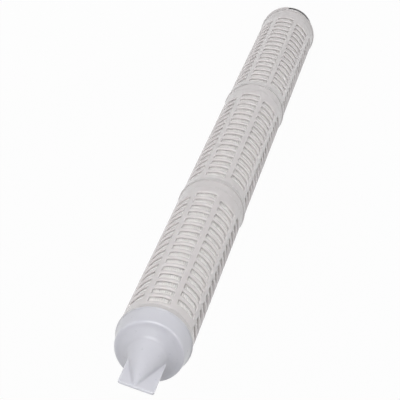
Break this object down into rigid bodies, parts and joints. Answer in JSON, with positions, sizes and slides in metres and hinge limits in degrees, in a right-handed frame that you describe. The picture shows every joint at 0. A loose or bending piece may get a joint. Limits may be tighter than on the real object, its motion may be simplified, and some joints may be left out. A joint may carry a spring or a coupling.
{
  "type": "pleated membrane filter cartridge",
  "caption": "Long white pleated filter cartridge: slotted cage modules welded end to end, closed domed cap with a flat locating fin, and an O-ring spigot with bayonet lugs.",
  "frame": {"origin": "centre of the spigot's nose face, which the cartridge stands on", "axes": "+Z along the cartridge axis, towards the fin; +X along the flat of the fin, +Y across it"},
  "size_m": [0.07, 0.07, 0.8495],
  "materials": {
    "moulded_plastic": "milky translucent, satin",
    "cage_plastic": "milky translucent, satin",
    "pleated_media": "matte, warm white",
    "seal_rubber": "smooth black",
    "steel_ring": "turned"
  },
  "bodies": {
    "root": {"o_ring_spigot": "moulded_plastic", "support_ring": "steel_ring", "lower_o_ring": "seal_rubber", "upper_o_ring": "seal_rubber", "bottom_cap_1": "moulded_plastic", "outer_cage_1": "cage_plastic", "pleated_membrane_1": "pleated_media", "inner_core_1": "moulded_plastic", "top_cap_1": "moulded_plastic", "bottom_cap_2": "moulded_plastic", "outer_cage_2": "cage_plastic", "pleated_membrane_2": "pleated_media", "inner_core_2": "moulded_plastic", "top_cap_2": "moulded_plastic", "bottom_cap_3": "moulded_plastic", "outer_cage_3": "cage_plastic", "pleated_membrane_3": "pleated_media", "inner_core_3": "moulded_plastic", "top_cap_3": "moulded_plastic", "fin_end_cap": "moulded_plastic"}
  },
  "joints": []
}
